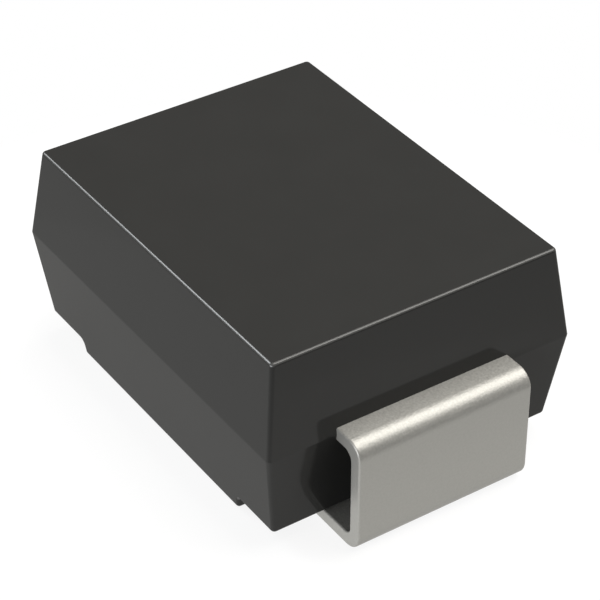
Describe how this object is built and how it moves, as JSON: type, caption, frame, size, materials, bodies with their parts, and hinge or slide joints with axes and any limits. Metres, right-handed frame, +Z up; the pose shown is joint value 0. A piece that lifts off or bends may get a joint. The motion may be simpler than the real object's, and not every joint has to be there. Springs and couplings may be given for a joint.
{
  "type": "surface mount schottky diode",
  "caption": "Surface mount Schottky diode: drafted black moulded body on tin-plated J-bent leads, with chip, copper strap and solder layers inside.",
  "frame": {"origin": "centre of the footprint on the board plane, which the undersides of both lead feet touch", "axes": "+X along the length from the cathode end to the anode end, +Y across the width, +Z up from the board"},
  "size_m": [0.0052, 0.0036, 0.0022],
  "materials": {
    "moulding_compound": "fine matt as moulded epoxy, charcoal black",
    "tin_plate": "matt tin plate on copper alloy sheet",
    "silicon": "metallised silicon",
    "copper": "bare rolled copper",
    "solder": "dull soft solder"
  },
  "bodies": {
    "root": {"moulded_body": "moulding_compound", "anode_lead": "tin_plate", "cathode_lead": "tin_plate", "schottky_chip": "silicon", "contact_clip": "copper", "die_attach_solder": "solder", "chip_top_solder": "solder", "clip_foot_solder": "solder"}
  },
  "joints": []
}
